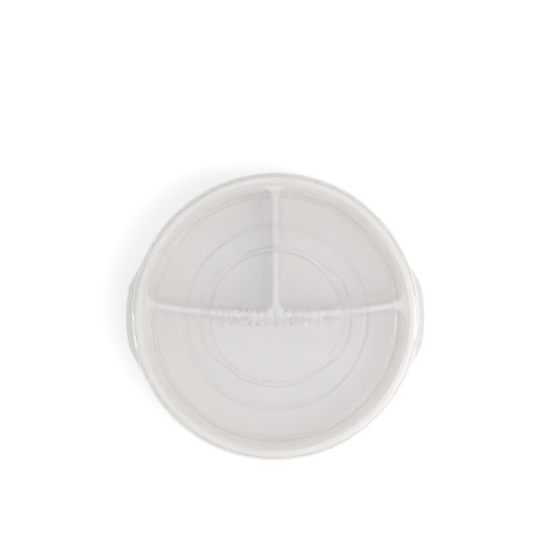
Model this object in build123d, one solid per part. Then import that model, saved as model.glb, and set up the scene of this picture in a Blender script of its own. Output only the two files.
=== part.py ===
"""A child's round divided plate with a clear press-on lid, both injection moulded.

The plate has a flat rim, three compartments parted by a T of hollow dividers, and a foot ring with two
side lugs. The lid has a skirt that snaps over the plate's rim, a finger tab at each side, two stiffening
grooves, and a nest groove with the plan of the foot ring, so that a second plate stacks on the lid.

Frame: origin at the middle of the foot's underside, +Z up, +X through a finger tab, +Y towards the two
small compartments. Units are millimetres.
"""

from build123d import *
import math
import os

# ---- driving dimensions -------------------------------------------------------------------------------
LID_RADIUS = 95.0  # outside of the lid's skirt
RIM_Z = 35.0  # top of the plate's rim
FOOT_HEIGHT = 3.4  # from the surface that the plate stands on to the underside of its floors
PLATE_WALL = 1.8
LID_WALL = 1.4

# Plate: compartments and dividers
WELL_RADIUS = 86.0  # inside of the compartments' outer wall, at the rim's level
DRAFT = 4.5  # degrees, every standing wall
DIVIDER_TOP_Z = 31.0
DIVIDER_TOP_WIDTH = 4.2
DIVIDER_FILLET = 1.9
CROSS_DIVIDER_RADIUS = 490.0  # in plan, the divider from side to side bows towards the front
CROSS_DIVIDER_Y = 1.0  # its middle
CORNER_RADIUS = 7.5  # upright corners of a compartment
FLOOR_FILLET = 5.0
SWOOP_OUTER_RADIUS = 88.0  # where the dividers' tops have run up to the rim
OVERCUT = 1.0  # how far cutters stand above the rim
TOUCH = 0.01  # closeness that counts as lying on a level or a circle

# Plate: rim
SKIRT_CLEARANCE = 0.5
LID_GAP = 0.15  # between the rim's top and the lid, so that the two share no face
SKIRT_WALL = LID_WALL
RIM_RADIUS = LID_RADIUS - SKIRT_WALL - SKIRT_CLEARANCE
RIM_LIP_WALL = 1.8
RIM_LIP_Z = 31.6
RIM_MOUTH_FILLET = 0.8
RIM_OVERLAP = 2.0  # how far the rim's solid reaches inwards before the wells are cut
SMALL_FILLET = 0.5

# Foot ring, and the nest groove that takes it
FOOT_INNER_RADIUS = 43.1
FOOT_OUTER_RADIUS = 45.8
LUG_RADIUS = 49.9
LUG_HALF_ANGLE = 30.0  # degrees, a lug's full-width part
LUG_ROOT_ANGLE = 45.0  # degrees, where a lug has run out into the ring
LUG_FILLET = 4.0
LUG_WALL = 1.7  # left around the pocket in a lug's underside
LUG_POCKET_HALF_ANGLE = 27.0
LUG_POCKET_DEPTH = 2.2
LUG_POCKET_FILLET = 1.2
FOOT_FILLET = 0.5
NEST_CLEARANCE = 0.6

# Lid: levels of its upper surface
LID_TOP_Z = RIM_Z + LID_GAP + LID_WALL
OUTER_PANEL_Z = LID_TOP_Z - 0.5
INNER_PANEL_Z = LID_TOP_Z - 0.8
SEAT_GROOVE_Z = OUTER_PANEL_Z - 0.6
STEP_GROOVE_Z = INNER_PANEL_Z - 0.6
NEST_GROOVE_Z = INNER_PANEL_Z - 0.9

# Lid: radii of the grooves' upper edges
SEAT_GROOVE = (79.0, 81.7)
STEP_GROOVE = (58.4, 61.2)
GROOVE_WALL_RUN = 0.55  # how far a groove's side leans in over its depth
GROOVE_EDGE_FILLET = 0.5
GROOVE_ROOT_FILLET = 0.5
GROOVE_UNDER_FILLET = 0.9  # under a groove, on the lid's underside
NEST_WALL_FILLET = 1.2
NEST_OVERLAP = 0.2  # how far the nest groove's solids pass the panel's surface

# Lid: skirt and finger tabs
SKIRT_FOOT_Z = 29.4
SHOULDER_FILLET = 4.0
RIM_EDGE_FILLET = SHOULDER_FILLET - LID_WALL
INNER_FILLET = 0.25
BEAD_TOP_Z = 31.25
BEAD_HEIGHT = 1.0
BEAD_DEPTH = 0.3
TAB_REACH = 98.5  # middle of a tab's outer edge
TAB_CORNER = (96.3, 20.9)
TAB_ROOT = (86.2, 39.0)
TAB_CORNER_FILLET = 14.0
TAB_ROOT_FILLET = 8.0
TAB_THICKNESS = 1.6

# Lid: raised ribs across its middle
GRIP_RIB_COUNT = 13
GRIP_RIB_PITCH = 5.8
GRIP_RIB_WIDTH = 1.5
GRIP_RIB_LENGTH = 12.5
GRIP_RIB_HEIGHT = 0.4
GRIP_RIB_CHAMFER = 0.2

SLOPE = math.tan(math.radians(DRAFT))
CUT_TOP = RIM_Z + OVERCUT


# ---- shared helpers -----------------------------------------------------------------------------------
def turned(outline, radii):
    """A solid turned about Z from a closed outline of (radius, z) points, each rounded by its own radius."""
    line = FilletPolyline(*[(r, 0, z) for r, z in outline], radius=radii, close=True)
    return revolve(make_face(line), axis=Axis.Z)


def lug_outline(outer, lug):
    """A disc whose edge bulges to the lug radius at each side."""
    full = math.radians(LUG_HALF_ANGLE)
    root = math.radians(LUG_ROOT_ANGLE)
    tip_x, tip_y = lug * math.cos(full), lug * math.sin(full)
    root_x, root_y = outer * math.cos(root), outer * math.sin(root)
    edges = [
        ThreePointArc((tip_x, -tip_y), (lug, 0), (tip_x, tip_y)),
        Line((tip_x, tip_y), (root_x, root_y)),
        Line((root_x, root_y), (root_x, -root_y)),
        Line((root_x, -root_y), (tip_x, -tip_y)),
    ]
    right = make_face(Curve() + edges)
    outline = Circle(outer) + right + mirror(right, about=Plane.YZ)
    return fillet(outline.vertices(), radius=LUG_FILLET)


# ---- plate --------------------------------------------------------------------------------------------
def compartment_plans(grow):
    """The front compartment and the right-hand rear one at the cutters' top, grown outwards."""
    half = DIVIDER_TOP_WIDTH / 2 - (CUT_TOP - DIVIDER_TOP_Z) * SLOPE - grow
    well = Circle(WELL_RADIUS + OVERCUT * SLOPE + grow)
    bow = Pos(0, CROSS_DIVIDER_Y + CROSS_DIVIDER_RADIUS)
    front = well - bow * Circle(CROSS_DIVIDER_RADIUS + half)
    rear = well & bow * Circle(CROSS_DIVIDER_RADIUS - half)
    reach = 2 * WELL_RADIUS
    right = rear & Pos(half + reach / 2, 0) * Rectangle(reach, 2 * reach)
    return [front, right]


def compartments(grow):
    """The three compartments filled solid, grown sideways and downwards."""
    depth = CUT_TOP - FOOT_HEIGHT - PLATE_WALL + grow
    solids = []
    for plan in compartment_plans(grow):
        solid = extrude(plan, amount=depth, taper=DRAFT)
        corners = solid.edges().filter_by(lambda edge: edge.bounding_box().size.Z > depth / 2)
        solid = fillet(corners, radius=CORNER_RADIUS + grow)
        floor = solid.faces().sort_by(Axis.Z)[-1]
        solid = fillet(floor.edges(), radius=FLOOR_FILLET + grow)
        solids.append(Pos(0, 0, CUT_TOP) * mirror(solid, about=Plane.XY))
    front, right = solids
    return [front, right, mirror(right, about=Plane.YZ)]


def basin(grow):
    """The shallow round space above the dividers, whose edge swoops up to the rim, grown by grow."""
    floor = DIVIDER_TOP_Z - grow
    edge = SWOOP_OUTER_RADIUS + grow
    top = CUT_TOP + OVERCUT
    solid = turned([(0, floor), (edge, floor), (edge, top), (0, top)], [0, CUT_TOP - floor, 0, 0])
    return Rot(0, 0, 90) * solid  # the seam then runs along the rear divider, clear of the fillets


def rim():
    """The flat rim with its turned-down outer lip."""
    inner = WELL_RADIUS - RIM_OVERLAP
    under = RIM_Z - PLATE_WALL
    lip = RIM_RADIUS - RIM_LIP_WALL
    outline = [
        (inner, RIM_Z),
        (RIM_RADIUS, RIM_Z),
        (RIM_RADIUS, RIM_LIP_Z),
        (lip, RIM_LIP_Z),
        (lip, under),
        (inner, under),
    ]
    return turned(outline, [0, RIM_EDGE_FILLET, SMALL_FILLET, SMALL_FILLET, INNER_FILLET, 0])


def lug_pocket():
    """The pocket that cores out the right-hand lug from below."""
    inner = FOOT_INNER_RADIUS + LUG_WALL
    outer = LUG_RADIUS - LUG_WALL
    half = math.radians(LUG_POCKET_HALF_ANGLE)
    far = 2 * outer
    wedge = Polygon((0, 0), (far, -far * math.tan(half)), (far, far * math.tan(half)), align=None)
    plan = (Circle(outer) - Circle(inner)) & wedge
    plan = fillet(plan.vertices(), radius=LUG_POCKET_FILLET)
    return extrude(plan, amount=LUG_POCKET_DEPTH)


def foot():
    """The foot ring and its two lugs, each lug cored out from below."""
    plan = lug_outline(FOOT_OUTER_RADIUS, LUG_RADIUS) - Circle(FOOT_INNER_RADIUS)
    ring = extrude(plan, amount=FOOT_HEIGHT + PLATE_WALL / 2)
    pocket = lug_pocket()
    ring = ring - pocket - mirror(pocket, about=Plane.YZ)
    return fillet(ring.edges().group_by(Axis.Z)[0], radius=FOOT_FILLET)


def mouth_edges(body):
    """The edges where the compartments' walls meet the dividers' tops and the basin's swoop."""
    swoop_start = SWOOP_OUTER_RADIUS - (CUT_TOP - DIVIDER_TOP_Z)
    chosen = ShapeList()
    for edge in body.edges():
        middle = edge @ 0.5
        radius = math.hypot(middle.X, middle.Y)
        box = edge.bounding_box()
        above = box.min.Z > DIVIDER_TOP_Z - TOUCH and box.max.Z < RIM_Z - PLATE_WALL
        if above and radius < WELL_RADIUS and abs(radius - swoop_start) > TOUCH:
            chosen.append(edge)
    return chosen


def rim_mouth_edges(body):
    """The circle where the basin opens in the rim's top."""
    level = body.edges().filter_by_position(Axis.Z, RIM_Z - TOUCH, RIM_Z + TOUCH)
    return level.filter_by(lambda edge: edge.radius < SWOOP_OUTER_RADIUS)


def plate():
    """The divided plate: skins, rim and foot joined, then the basin and the compartments cut out."""
    body = basin(PLATE_WALL)
    for skin in compartments(PLATE_WALL):
        body += skin
    body -= Pos(0, 0, RIM_Z + OVERCUT) * Cylinder(LID_RADIUS, 2 * OVERCUT)
    body += rim()
    body += foot()
    body -= basin(0)
    for space in compartments(0):
        body -= space
    body = fillet(mouth_edges(body), radius=DIVIDER_FILLET)
    return fillet(rim_mouth_edges(body), radius=RIM_MOUTH_FILLET)


# ---- lid ----------------------------------------------------------------------------------------------
def groove(edges, near_z, floor_z, far_z):
    """Corners of one turned groove in the lid's upper surface, from its inner edge to its outer one."""
    inner, outer = edges
    return [
        (inner, near_z),
        (inner + GROOVE_WALL_RUN, floor_z),
        (outer - GROOVE_WALL_RUN, floor_z),
        (outer, far_z),
    ]


def moved_right(points, distance):
    """A line of (radius, z) points moved to its own right, with mitred corners."""
    normals = []
    for (r0, z0), (r1, z1) in zip(points, points[1:]):
        length = math.hypot(r1 - r0, z1 - z0)
        normals.append(((z1 - z0) / length, (r0 - r1) / length))
    moved = []
    for (r, z), before, after in zip(points, normals[:1] + normals, normals + normals[-1:]):
        reach = distance / (1 + before[0] * after[0] + before[1] * after[1])
        moved.append((r + reach * (before[0] + after[0]), z + reach * (before[1] + after[1])))
    return moved


def shell():
    """The lid's turned body: panels, grooves, flat rim, rounded shoulder and skirt, one wall thick."""
    grooves = groove(STEP_GROOVE, INNER_PANEL_Z, STEP_GROOVE_Z, OUTER_PANEL_Z)
    grooves += groove(SEAT_GROOVE, OUTER_PANEL_Z, SEAT_GROOVE_Z, LID_TOP_Z)
    upper = [(0, INNER_PANEL_Z)] + grooves + [(LID_RADIUS, LID_TOP_Z), (LID_RADIUS, SKIRT_FOOT_Z)]
    edge, root = GROOVE_EDGE_FILLET, GROOVE_ROOT_FILLET
    upper_radii = [0] + 2 * [edge, root, root, edge] + [SHOULDER_FILLET, SMALL_FILLET]

    lower = moved_right(upper, LID_WALL)
    inside, rounded = INNER_FILLET, GROOVE_UNDER_FILLET
    lower_radii = [0] + 2 * [inside, rounded, rounded, inside] + [SHOULDER_FILLET - LID_WALL, SMALL_FILLET]

    skirt = LID_RADIUS - SKIRT_WALL
    bead = [
        (skirt, BEAD_TOP_Z),
        (skirt - BEAD_DEPTH, BEAD_TOP_Z - BEAD_DEPTH),
        (skirt - BEAD_DEPTH, BEAD_TOP_Z - BEAD_HEIGHT + BEAD_DEPTH),
        (skirt, BEAD_TOP_Z - BEAD_HEIGHT),
    ]
    lower[-1:-1] = bead
    lower_radii[-1:-1] = [0] * len(bead)
    body = turned(upper + lower[::-1], upper_radii + lower_radii[::-1])
    return Rot(0, 0, 90) * body  # the seam then runs to the back, clear of the tabs


def tabs():
    """Both finger tabs, a flange that stands out from the skirt's foot at each side."""
    x, y = TAB_CORNER
    root_x, root_y = TAB_ROOT
    edges = [
        ThreePointArc((x, -y), (TAB_REACH, 0), (x, y)),
        Line((x, y), (root_x, root_y)),
        Line((root_x, root_y), (root_x, -root_y)),
        Line((root_x, -root_y), (x, -y)),
    ]
    right = make_face(Curve() + edges)
    outline = Circle(LID_RADIUS) + right + mirror(right, about=Plane.YZ)
    corners = outline.vertices().filter_by(lambda v: math.hypot(v.X, v.Y) > LID_RADIUS + TOUCH)
    outline = fillet(corners, radius=TAB_CORNER_FILLET)
    roots = outline.vertices().filter_by(lambda v: abs(math.hypot(v.X, v.Y) - LID_RADIUS) < TOUCH)
    outline = fillet(roots, radius=TAB_ROOT_FILLET)
    flange = extrude(outline - Circle(LID_RADIUS - SKIRT_WALL / 2), amount=TAB_THICKNESS)
    return Pos(0, 0, SKIRT_FOOT_Z) * flange


def nest_ring(grow, top):
    """The nest groove's space below a level, or with grow the wall round that space."""
    depth = top - NEST_GROOVE_Z + grow
    lean = GROOVE_WALL_RUN / (INNER_PANEL_Z - NEST_GROOVE_Z)
    outline = lug_outline(FOOT_OUTER_RADIUS + NEST_CLEARANCE + grow, LUG_RADIUS + NEST_CLEARANCE + grow)
    outer = mirror(extrude(outline, amount=depth, taper=math.degrees(math.atan(lean))), about=Plane.XY)
    inner = FOOT_INNER_RADIUS - NEST_CLEARANCE - grow
    middle = Pos(0, 0, -depth / 2) * Cone(inner + lean * depth, inner, depth)
    return Pos(0, 0, top) * (outer - middle)


def nest_edges(body, level):
    """The nest groove's edges that lie at a level."""
    flat = body.edges().filter_by_position(Axis.Z, level - TOUCH, level + TOUCH)
    halfway = (LUG_RADIUS + STEP_GROOVE[0]) / 2
    return flat.filter_by(lambda edge: math.hypot((edge @ 0).X, (edge @ 0).Y) < halfway)


def grip_ribs():
    """The row of low ribs across the lid's middle."""
    row = GridLocations(GRIP_RIB_PITCH, 0, GRIP_RIB_COUNT, 1)
    rib = extrude(SlotOverall(GRIP_RIB_LENGTH, GRIP_RIB_WIDTH, rotation=90), amount=2 * GRIP_RIB_HEIGHT)
    rib = chamfer(rib.edges().group_by(Axis.Z)[-1], length=GRIP_RIB_CHAMFER)
    return [Pos(0, 0, INNER_PANEL_Z - GRIP_RIB_HEIGHT) * place * rib for place in row]


def lid():
    """The press-on lid."""
    body = shell() + nest_ring(LID_WALL, INNER_PANEL_Z - NEST_OVERLAP)
    under = NEST_GROOVE_Z - LID_WALL
    body = fillet(nest_edges(body, under), radius=NEST_WALL_FILLET)
    body -= nest_ring(0, INNER_PANEL_Z + NEST_OVERLAP)
    body = fillet(nest_edges(body, NEST_GROOVE_Z), radius=GROOVE_ROOT_FILLET)
    body = fillet(nest_edges(body, INNER_PANEL_Z), radius=GROOVE_EDGE_FILLET)
    for rib in grip_ribs():
        body += rib
    return body + tabs()


def main():
    os.makedirs("parts", exist_ok=True)
    for name, solid in (("plate", plate()), ("lid", lid())):
        print(name, round(solid.volume), len(solid.solids()), solid.is_valid)
        export_step(solid, f"parts/{name}.step")


main()
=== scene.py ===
"""A child's divided plate under its clear press-on lid, seen from straight above on a white floor."""

import math

import bpy
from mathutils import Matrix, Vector


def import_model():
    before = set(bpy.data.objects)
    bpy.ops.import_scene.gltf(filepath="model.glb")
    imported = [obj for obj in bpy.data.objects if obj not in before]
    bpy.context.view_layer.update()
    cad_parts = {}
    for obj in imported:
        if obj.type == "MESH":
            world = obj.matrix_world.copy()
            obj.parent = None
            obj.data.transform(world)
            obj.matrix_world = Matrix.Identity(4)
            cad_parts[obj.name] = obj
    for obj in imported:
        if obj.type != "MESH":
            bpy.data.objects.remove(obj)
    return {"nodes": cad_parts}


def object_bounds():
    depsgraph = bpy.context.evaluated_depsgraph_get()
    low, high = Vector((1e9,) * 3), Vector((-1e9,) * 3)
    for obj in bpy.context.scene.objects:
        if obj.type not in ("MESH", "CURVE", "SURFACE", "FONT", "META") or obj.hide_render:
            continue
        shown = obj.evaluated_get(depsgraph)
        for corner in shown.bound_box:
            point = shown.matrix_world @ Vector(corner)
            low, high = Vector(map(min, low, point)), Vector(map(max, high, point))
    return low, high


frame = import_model()
CAD_LOW, CAD_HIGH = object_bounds()
MIDDLE = (CAD_LOW + CAD_HIGH) / 2

# ---- driving values, in metres and degrees ------------------------------------------------------------
MM = 0.001

LENS = 100.0  # millimetres, on a sensor 36 mm wide
SENSOR = 36.0
CAMERA_HEIGHT = 1.039
CAMERA_OFFSET = (-0.0003, 0.0275)  # from the object's middle, so the object sits low in the picture

FLOOR_SIZE = 6.0
FLOOR_DROP = 0.0002  # the floor lies this far under the foot

NEST_FLOOR_Z = CAD_HIGH.z - 1.7 * MM  # floor of the nest groove in the lid
RIB_TOP_Z = CAD_HIGH.z - 0.4 * MM  # tops of the grip ribs
LEVEL_BAND = 0.04 * MM
NEST_OUTER_RADIUS = 52 * MM
SHOULDER_RADIUS = 91 * MM  # where the lid's top has begun to turn down
SKIRT_RADIUS = (CAD_HIGH.y - CAD_LOW.y) / 2  # outside of the lid's skirt
TAB_BLEND = 0.3 * MM  # over which the lid's painted shade and frosting change to the tabs'

PLASTIC_IOR = 1.49
LID_IOR = 1.12  # low, so that the grooves refract softly; the coat gives the gloss
FROSTED_ROUGHNESS = 0.35

PLATE_DARKER = (0.835, 0.772, 0.73, 1)
PLATE_LIGHTER = (0.845, 0.782, 0.74, 1)
LID_CLEAR = (0.955, 0.957, 0.955, 1)
LID_EDGE_SHADE = (0.735, 0.73, 0.72, 1)  # painted shade: a darker base colour over the shoulder's turn and the tabs
FLOOR_WHITE = (0.93, 0.93, 0.93, 1)

WORLD_COLOUR = (0.965, 0.983, 1.0, 1)
WORLD_STRENGTH = 1.02
WARM_LIGHT = (1.0, 0.985, 0.97)
MILD_LIGHT = (1.0, 0.99, 0.98)
COOL_LIGHT = (0.97, 0.985, 1.0)
STRIP_SIZE = (0.3, 0.12)
STRIP_DISTANCE = 1.1


# ---- node helpers -------------------------------------------------------------------------------------
class Shader:
    """A material whose Principled shader is fed by small procedural chains."""

    def __init__(self, name):
        self.material = bpy.data.materials.new(name)
        self.material.use_nodes = True
        self.nodes = self.material.node_tree.nodes
        self.links = self.material.node_tree.links
        self.surface = self.nodes["Principled BSDF"]
        self.place = self.nodes.new("ShaderNodeTexCoord").outputs["Object"]

    def set(self, **values):
        """Sets the shader's own sockets; an underscore in a name stands for a space."""
        for name, value in values.items():
            self.surface.inputs[name.replace("_", " ")].default_value = value

    def feed(self, socket, output):
        """Links an output to one of the shader's sockets."""
        self.links.new(output, self.surface.inputs[socket])

    def noise(self, scale, detail=2.0, stretch=(1, 1, 1)):
        """Noise in the object's own metres, optionally stretched along the axes."""
        mapping = self.nodes.new("ShaderNodeMapping")
        mapping.inputs["Scale"].default_value = stretch
        self.links.new(self.place, mapping.inputs["Vector"])
        texture = self.nodes.new("ShaderNodeTexNoise")
        texture.inputs["Scale"].default_value = scale
        texture.inputs["Detail"].default_value = detail
        self.links.new(mapping.outputs["Vector"], texture.inputs["Vector"])
        return texture.outputs["Fac"]

    def ranged(self, output, low, high, span=(0.3, 0.7)):
        """An output spread over low to high."""
        node = self.nodes.new("ShaderNodeMapRange")
        node.inputs["From Min"].default_value = span[0]
        node.inputs["From Max"].default_value = span[1]
        node.inputs["To Min"].default_value = low
        node.inputs["To Max"].default_value = high
        self.links.new(output, node.inputs["Value"])
        return node.outputs["Result"]

    def maths(self, operation, first, second):
        """A maths node on two outputs or numbers."""
        node = self.nodes.new("ShaderNodeMath")
        node.operation = operation
        for socket, value in zip(node.inputs, (first, second)):
            if isinstance(value, (int, float)):
                socket.default_value = value
            else:
                self.links.new(value, socket)
        return node.outputs["Value"]

    def radius_and_height(self):
        """Distance from the object's upright axis, and height."""
        split = self.nodes.new("ShaderNodeSeparateXYZ")
        self.links.new(self.place, split.inputs["Vector"])
        x, y, z = split.outputs
        squares = self.maths("ADD", self.maths("MULTIPLY", x, x), self.maths("MULTIPLY", y, y))
        return self.maths("SQRT", squares, 0), z

    def near(self, output, level):
        """1 where an output is within the level band, else 0."""
        distance = self.maths("ABSOLUTE", self.maths("SUBTRACT", output, level), 0)
        return self.maths("LESS_THAN", distance, LEVEL_BAND)

    def blended(self, share, first, second):
        """A colour between two, each a colour or an output."""
        node = self.nodes.new("ShaderNodeMix")
        node.data_type = "RGBA"
        self.links.new(share, node.inputs["Factor"])
        for socket, value in zip((node.inputs[6], node.inputs[7]), (first, second)):
            if isinstance(value, tuple):
                socket.default_value = value
            else:
                self.links.new(value, socket)
        return node.outputs[2]

    def bump(self, *layers):
        """Stacks bump layers, each (height output, strength, depth in metres)."""
        normal = None
        for height, strength, depth in layers:
            node = self.nodes.new("ShaderNodeBump")
            node.inputs["Strength"].default_value = strength
            node.inputs["Distance"].default_value = depth
            self.links.new(height, node.inputs["Height"])
            if normal is not None:
                self.links.new(normal, node.inputs["Normal"])
            normal = node.outputs["Normal"]
        self.feed("Normal", normal)


# ---- materials ----------------------------------------------------------------------------------------
def plate_plastic():
    """Warm off-white moulded plastic with a soft gloss."""
    shader = Shader("plate_plastic")
    shader.set(IOR=PLASTIC_IOR, Specular_IOR_Level=0.5)
    shader.set(Subsurface_Weight=0.35, Subsurface_Radius=(1.0, 0.85, 0.8), Subsurface_Scale=6 * MM)
    cloud = shader.ranged(shader.noise(28, 3), 0.0, 1.0)
    colour = shader.blended(cloud, PLATE_DARKER, PLATE_LIGHTER)
    shader.feed("Base Color", colour)
    shader.feed("Roughness", shader.ranged(shader.noise(60, 3), 0.28, 0.31))
    peel = shader.noise(900, 2)
    swell = shader.noise(60, 2)
    shader.bump((swell, 0.1, 0.3 * MM), (peel, 0.06, 0.02 * MM))
    return shader.material


def lid_plastic():
    """Clear, slightly milky moulded plastic, frosted on the tabs, rib tops and nest groove's floor;
    painted shade darkens its base colour over the shoulder's turn and the tabs.
    """
    shader = Shader("lid_plastic")
    shader.set(IOR=LID_IOR, Transmission_Weight=0.83)
    shader.set(Coat_Weight=1.0, Coat_Roughness=0.06, Coat_IOR=PLASTIC_IOR)
    radius, z = shader.radius_and_height()
    inside = shader.maths("LESS_THAN", radius, NEST_OUTER_RADIUS)
    levels = shader.maths("MAXIMUM", shader.near(z, NEST_FLOOR_Z), shader.near(z, RIB_TOP_Z))
    nest = shader.maths("MULTIPLY", levels, inside)
    # painted shade: the base colour darkens from the shoulder's turn out to the skirt, and the tabs take
    # it in full
    edge_shade_share = shader.ranged(radius, 0.0, 1.0, (SHOULDER_RADIUS, SKIRT_RADIUS))
    tab = shader.ranged(radius, 0.0, 1.0, (SKIRT_RADIUS, SKIRT_RADIUS + TAB_BLEND))

    clear = shader.blended(edge_shade_share, LID_CLEAR, LID_EDGE_SHADE)
    shader.feed("Base Color", shader.blended(tab, clear, LID_EDGE_SHADE))
    cloud = shader.ranged(shader.noise(120, 3), 0.08, 0.12)
    streaks = shader.ranged(shader.noise(420, 3, (0.08, 1, 1)), 0.07, 0.14, (0.45, 0.8))
    haze = shader.maths("MAXIMUM", cloud, streaks)
    frosted = shader.maths("MAXIMUM", nest, tab)
    frosting = shader.maths("MULTIPLY", frosted, FROSTED_ROUGHNESS)
    shader.feed("Roughness", shader.maths("MAXIMUM", haze, frosting))
    shader.bump((shader.noise(45, 2), 0.1, 0.3 * MM), (shader.noise(700, 2), 0.06, 0.02 * MM))
    return shader.material


def floor_white():
    """Matt white paper."""
    shader = Shader("floor_white")
    shader.set(Base_Color=FLOOR_WHITE, Roughness=0.9, Specular_IOR_Level=0.1)
    return shader.material


# ---- studio -------------------------------------------------------------------------------------------
def direction(azimuth, elevation):
    """A unit vector, azimuth from +X towards +Y and elevation above the floor, in degrees."""
    a, e = math.radians(azimuth), math.radians(elevation)
    return Vector((math.cos(a) * math.cos(e), math.sin(a) * math.cos(e), math.sin(e)))


def softbox(name, azimuth, elevation, distance, size, power, colour):
    """A rectangular light that faces the object."""
    data = bpy.data.lights.new(name, "AREA")
    data.shape = "RECTANGLE"
    data.size, data.size_y = size
    data.energy = power
    data.color = colour
    light = bpy.data.objects.new(name, data)
    towards = direction(azimuth, elevation)
    light.location = MIDDLE + towards * distance
    light.rotation_mode = "QUATERNION"
    light.rotation_quaternion = towards.to_track_quat("Z", "Y")
    bpy.context.scene.collection.objects.link(light)


def floor():
    """The floor, a plain sheet under the object's foot."""
    half = FLOOR_SIZE / 2
    z = CAD_LOW.z - FLOOR_DROP
    mesh = bpy.data.meshes.new("floor")
    corners = [(-half, -half, z), (half, -half, z), (half, half, z), (-half, half, z)]
    mesh.from_pydata(corners, [], [(0, 1, 2, 3)])
    sheet = bpy.data.objects.new("floor", mesh)
    bpy.context.scene.collection.objects.link(sheet)
    mesh.materials.append(floor_white())


def world():
    """Even pale light from all round."""
    made = bpy.data.worlds.new("studio")
    made.use_nodes = True
    background = made.node_tree.nodes["Background"]
    background.inputs["Color"].default_value = WORLD_COLOUR
    background.inputs["Strength"].default_value = WORLD_STRENGTH
    bpy.context.scene.world = made


def camera():
    """The photograph's view, straight down with +Y up the picture."""
    data = bpy.data.cameras.new("camera")
    data.lens = LENS
    data.sensor_width = SENSOR
    data.clip_start = 0.05
    data.clip_end = 20
    made = bpy.data.objects.new("camera", data)
    made.location = (MIDDLE.x + CAMERA_OFFSET[0], MIDDLE.y + CAMERA_OFFSET[1], CAMERA_HEIGHT)
    bpy.context.scene.collection.objects.link(made)
    bpy.context.scene.camera = made


def dress(node, material):
    """Gives a CAD node its material."""
    piece = frame["nodes"][node]
    piece.data.materials.clear()
    piece.data.materials.append(material)
    for polygon in piece.data.polygons:
        polygon.material_index = 0


dress("plate", plate_plastic())
dress("lid", lid_plastic())
floor()
world()
softbox("key", -25, 50, 0.8, (0.66, 0.6), 2.4, WARM_LIGHT)
softbox("left_strip", 187, 18, STRIP_DISTANCE, STRIP_SIZE, 2.0, COOL_LIGHT)
softbox("right_strip", -2, 25, STRIP_DISTANCE, STRIP_SIZE, 1.6, MILD_LIGHT)
camera()
bpy.context.scene.view_settings.view_transform = "Standard"
